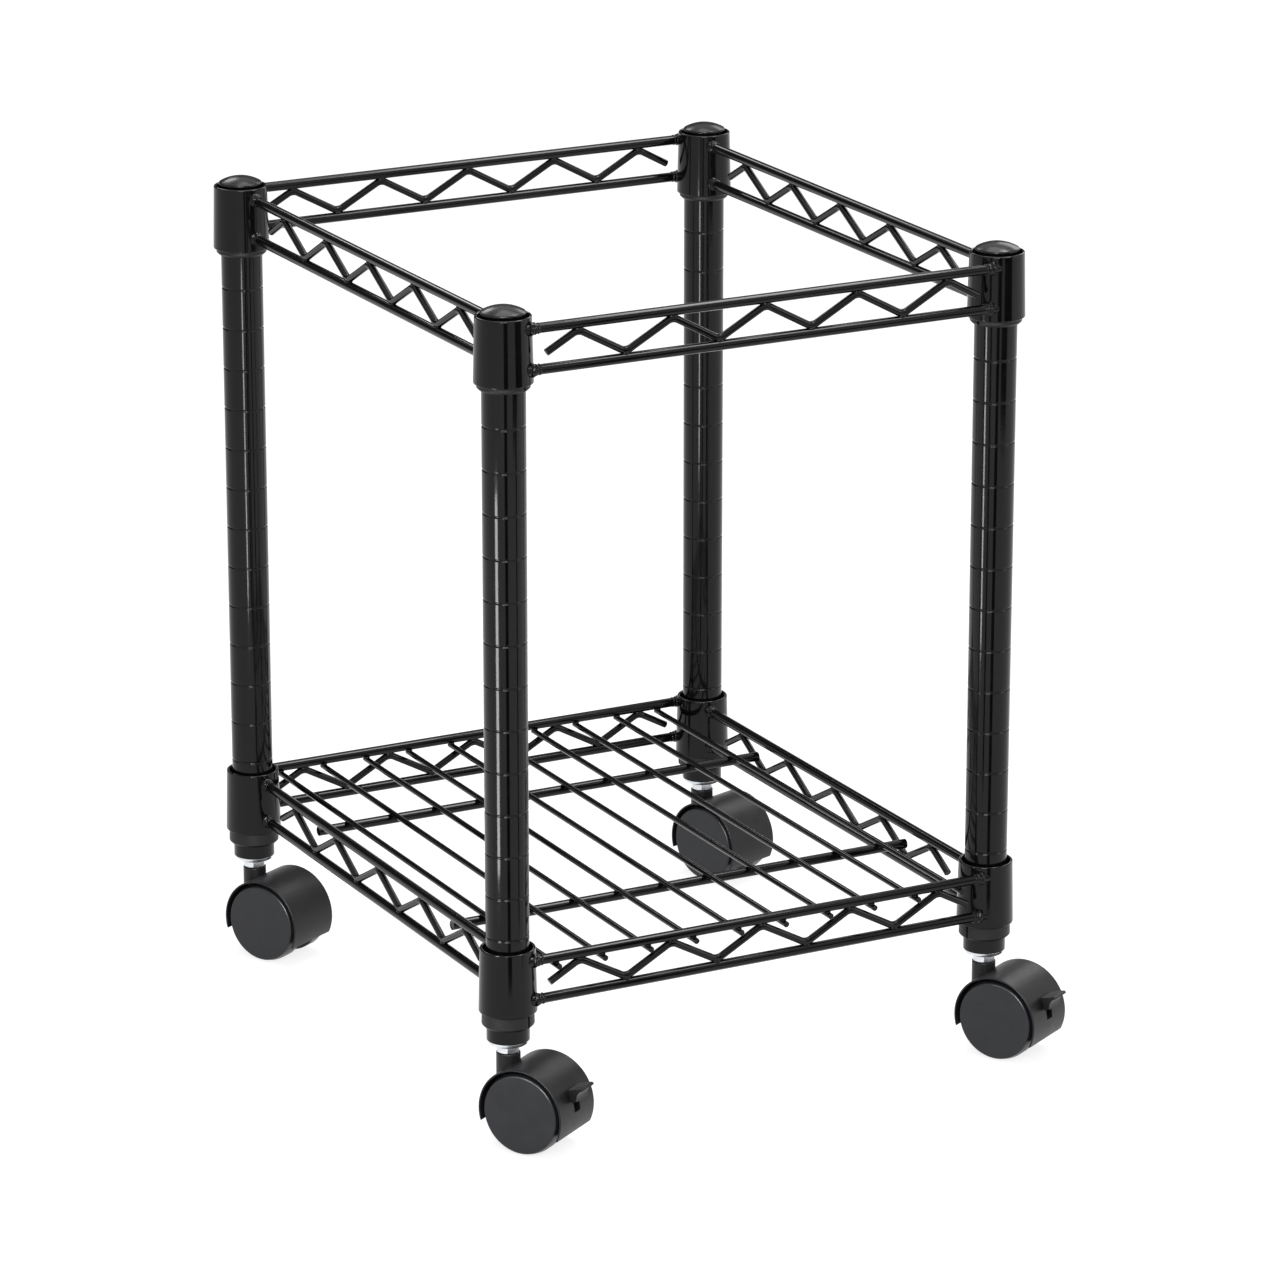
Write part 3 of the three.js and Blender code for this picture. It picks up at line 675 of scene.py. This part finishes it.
def casterHood(name, hasBrake):
    cover = pullPlate(name, arc(hood["outer"], hood["back"], hood["front"], hood["steps"])
                      + arc(hood["inner"], hood["front"], hood["back"], hood["steps"]), hood["width"])
    roundEdges(cover, hood["rounding"])
    middle = (hood["inner"] + hood["outer"]) / 2
    wall = arc(middle, hood["back"], hood["front"], hood["steps"]) + [(0, -hood["webDrop"])]
    carve(cover, pullPlate("web", wall, hood["web"]), "UNION")
    swivel = Vector((-hood["trail"], 0, 0)) * mm
    neck = turnRod("neck", hood["neck"], 0, hood["neckTop"], hood["sides"])
    roundEdges(neck, hood["neckRounding"])
    moveTo(neck, swivel)
    carve(cover, neck, "UNION")
    clear = hood["neckTop"] + stem["hexHeight"]  # above the neck's top
    pinBore = turnRod("pinBore", hood["pinBore"], hood["pinEnd"], clear, hood["sides"])
    moveTo(pinBore, swivel)
    carve(cover, pinBore)
    half = hood["width"] / 2
    carve(cover, turnRod("axleBore", hood["axleBore"], -half, half, axle["sides"], alongAxle=True))
    if hasBrake:
        carve(cover, leverRoom())
    smoothShade(cover)
    return cover


def pedalOutline():
    # ribs across the tread, a lip at the tip and a hollow underside
    half = lever["armHeight"] / 2
    root, tip = pedal["root"], pedal["root"] + pedal["length"]
    foot, lip = root + pedal["foot"], tip - pedal["lip"]
    lipUnder = pedal["tipRise"] - pedal["lipThickness"]
    valley = pedal["ribHeight"]

    def tread(x):
        return pedal["rise"] + (pedal["tipRise"] - pedal["rise"]) * (x - root) / (tip - root)

    top = [(root, tread(root) - valley)]
    for i in range(pedal["ribs"]):
        for across, up in pedal["ribShape"]:
            x = root + (i + across) * pedal["ribStep"]
            top.append((x, tread(x) - valley * (1 - up)))
    top += [(lip - valley, tread(lip) - valley), (lip, tread(lip)), (tip - valley, tread(tip)),
            (tip, tread(tip) - valley), (tip, lipUnder)]
    slope = math.hypot(lip - foot, lipUnder + half)
    under = []
    for i in range(pedal["hollowSteps"] + 1):
        share = i / pedal["hollowSteps"]
        dip = pedal["hollow"] * math.sin(math.pi * share) / slope
        under.append((lip + (foot - lip) * share - dip * (lipUnder + half),
                      lipUnder - (lipUnder + half) * share + dip * (lip - foot)))
    return top + under + [(root, -half)]


def brakeLever():
    # about its pivot, the arm along X and its end inside the pedal
    half = lever["armHeight"] / 2
    end = pedal["root"] + pedal["foot"] / 2
    eye = arc(half, 90, 270, lever["eyeSteps"])
    arm = pullPlate("leverPattern", [(end, lever["gap"] - half), (end, half)] + eye, lever["thickness"])
    roundEdges(arm, lever["rounding"], edges["fineSteps"])
    reach = lever["thickness"] / 2 + lever["pinReach"]
    carve(arm, turnRod("pin", lever["pin"] / 2, -reach, reach, axle["sides"], alongAxle=True), "UNION")
    block = pullPlate("pedalBlock", pedalOutline(), pedal["width"])
    roundEdges(block, pedal["rounding"], edges["fineSteps"], edges["turnedSharp"])
    carve(arm, block, "UNION")
    smoothShade(arm)
    return arm


wheelPattern = casterWheel()
smoothShade(wheelPattern)
axlePattern = axlePin()
smoothShade(axlePattern)
plainHood = casterHood("plainHood", False)
brakeHood = casterHood("brakeHood", True)
leverPattern = brakeLever()
for corner in corners:
    spin = joints["spin_" + corner + "_near"]
    middle = Vector(spin["pos_m"])
    casterTurn = math.atan2(-spin["axis"][0], spin["axis"][1])
    cover = brakeHood if corner in frontCorners else plainHood
    placeCopy(cover, "casterHood_" + corner, "hood_" + corner, casterPlastic, middle, casterTurn)
    placeCopy(axlePattern, "axlePin_" + corner, "axle_" + corner, axleSteel, middle, casterTurn)
    for side, turn in (("_far", 0), ("_near", math.pi)):
        placeCopy(wheelPattern, "casterWheel_" + corner + side, "wheel_" + corner + side, wheelPlastic,
                  middle, casterTurn + turn)
    if corner in frontCorners:
        pivot = Vector(joints["brake_" + corner]["pos_m"])
        placeCopy(leverPattern, "brakePedal_" + corner, "brake_lever_" + corner, casterPlastic,
                  pivot, casterTurn, math.radians(-lever["angle"]))
for pattern in (wheelPattern, axlePattern, plainHood, brakeHood, leverPattern):
    bpy.data.objects.remove(pattern)
print("casters done")


# camera at the photograph's angle

camera = {"azimuth": -27.74, "elevation": 17.6, "distance": 3.543, "lens": 164.0,
          "aim": (0.002, -0.001, 0.234)}


def aimAt(thing, target):
    thing.rotation_euler = (Vector(target) - thing.location).to_track_quat("-Z", "Y").to_euler()


around = math.radians(camera["azimuth"])
above = math.radians(camera["elevation"])
bpy.ops.object.select_all(action="DESELECT")
bpy.ops.object.camera_add()
viewer = bpy.context.object
viewer.name = "photoCamera"
viewer.data.lens = camera["lens"]
viewer.location = Vector(camera["aim"]) + camera["distance"] * Vector((
    math.sin(around) * math.cos(above), -math.cos(around) * math.cos(above), math.sin(above)))
aimAt(viewer, camera["aim"])
bpy.context.scene.camera = viewer


# pale floor that reads white, soft lights and a plain sky

stage = {"floorSize": 30.0, "floorTone": (0.4, 0.4, 0.4), "floorGlow": 0.8, "sky": 0.5,
         "feltTone": (0.004, 0.004, 0.004)}


def seenDirectly(nodes, links):
    # 1 for what the camera, reflections and glass see, 0 for the light that falls on the cart
    path = nodes.new("ShaderNodeLightPath")
    most = path.outputs["Is Camera Ray"]
    for ray in ("Is Glossy Ray", "Is Transmission Ray"):
        larger = nodes.new("ShaderNodeMath")
        larger.operation = "MAXIMUM"
        links.new(most, larger.inputs[0])
        links.new(path.outputs[ray], larger.inputs[1])
        most = larger.outputs[0]
    return most


bpy.ops.object.select_all(action="DESELECT")
bpy.ops.mesh.primitive_plane_add(size=stage["floorSize"])
floor = bpy.context.object
floor.name = "floor"
paper = bpy.data.materials.new("paper")
paper.use_nodes = True
nodes, links = paper.node_tree.nodes, paper.node_tree.links
nodes.remove(nodes["Principled BSDF"])
matte = nodes.new("ShaderNodeBsdfDiffuse")
matte.inputs["Color"].default_value = (*stage["floorTone"], 1)
glow = nodes.new("ShaderNodeEmission")
amount = nodes.new("ShaderNodeMath")
amount.operation = "MULTIPLY"
amount.inputs[1].default_value = stage["floorGlow"]
links.new(seenDirectly(nodes, links), amount.inputs[0])
links.new(amount.outputs[0], glow.inputs["Strength"])
both = nodes.new("ShaderNodeAddShader")
links.new(matte.outputs[0], both.inputs[0])
links.new(glow.outputs[0], both.inputs[1])
links.new(both.outputs[0], nodes["Material Output"].inputs["Surface"])
floor.data.materials.append(paper)

sky = bpy.data.worlds.new("studio")
bpy.context.scene.world = sky
sky.use_nodes = True
nodes, links = sky.node_tree.nodes, sky.node_tree.links
backdrop = nodes["Background"]
backdrop.inputs["Color"].default_value = (1, 1, 1, 1)
bright = nodes.new("ShaderNodeMapRange")
bright.inputs["To Min"].default_value = stage["sky"]
links.new(seenDirectly(nodes, links), bright.inputs["Value"])
links.new(bright.outputs["Result"], backdrop.inputs["Strength"])

# softboxes: place, aim, size and power, five of them only mirrored in what is glossy
softboxes = {
    "keyLight": {"place": (-1.0, -1.9, 1.4), "aim": (0, 0, 0.25), "size": (0.7, 0.9), "watts": 20,
                 "mirrored": False},
    "topLight": {"place": (0.3, 0.2, 2.4), "aim": (0, 0, 0.2), "size": (1.6, 1.6), "watts": 26,
                 "mirrored": False},
    "fillLight": {"place": (1.9, -1.6, 1.0), "aim": (0, 0, 0.25), "size": (0.9, 1.4), "watts": 8,
                  "mirrored": False},
    "stripLight": {"place": (-0.41, -0.26, 0.2), "aim": (-0.16, -0.18, 0.2), "size": (0.06, 0.245),
                   "watts": 1.0, "mirrored": True},
    "glintLight": {"place": (0.75, -0.26, 1.9), "aim": (0, -0.26, 0.4), "size": (1.1, 0.3), "watts": 12,
                   "mirrored": True},
    "backLight": {"place": (0.08, 1.6, 1.485), "aim": (0, 0, 0.47), "size": (0.4, 0.5), "watts": 3.5,
                  "mirrored": True},
    "edgeLight": {"place": (-1.0, -1.9, 1.4), "aim": (0, 0, 0.25), "size": (0.8, 0.8), "watts": 110,
                  "mirrored": True},
    "rimLight": {"place": (1.3, 0.9, 1.1), "aim": (0, 0, 0.3), "size": (0.8, 0.8), "watts": 6,
                 "mirrored": True},
}
for name, box in softboxes.items():
    bpy.ops.object.select_all(action="DESELECT")
    bpy.ops.object.light_add(type="AREA", location=box["place"])
    lamp = bpy.context.object
    lamp.name = name
    lamp.data.shape = "RECTANGLE"
    lamp.data.size, lamp.data.size_y = box["size"]
    lamp.data.energy = box["watts"]
    aimAt(lamp, box["aim"])
    lamp.visible_camera = False
    lamp.visible_diffuse = not box["mirrored"]

# black cards around the cart, seen only in its reflections; the strips draw a line on the front posts
cards = {
    "frontCard": {"place": (0.4, -0.99, 0.295), "aim": (0.0, 0.0, 0.295), "size": (0.5, 0.29)},
    "leftStrip": {"place": (-0.261, -0.462, 0.25), "aim": (-0.16, -0.18, 0.25), "size": (0.084, 0.5)},
    "rightStrip": {"place": (0.059, -0.462, 0.25), "aim": (0.16, -0.18, 0.25), "size": (0.084, 0.5)},
    "rightCard": {"place": (0.71, 1.35, 0.85), "aim": (0.0, 0.0, 0.85), "size": (1.8, 0.9)},
    "leftCard": {"place": (-0.74, 1.33, 0.85), "aim": (0.0, 0.0, 0.85), "size": (1.7, 0.9)},
}
felt = bpy.data.materials.new("felt")
felt.use_nodes = True
felt.node_tree.nodes["Principled BSDF"].inputs["Base Color"].default_value = (*stage["feltTone"], 1)
for name, card in cards.items():
    bpy.ops.object.select_all(action="DESELECT")
    bpy.ops.mesh.primitive_plane_add(size=1, location=card["place"])
    board = bpy.context.object
    board.name = name
    board.scale = (*card["size"], 1)
    aimAt(board, card["aim"])
    board.data.materials.append(felt)
    board.visible_camera = board.visible_diffuse = board.visible_shadow = False
print("camera, floor and lights set")

bpy.context.scene.view_settings.view_transform = "Standard"
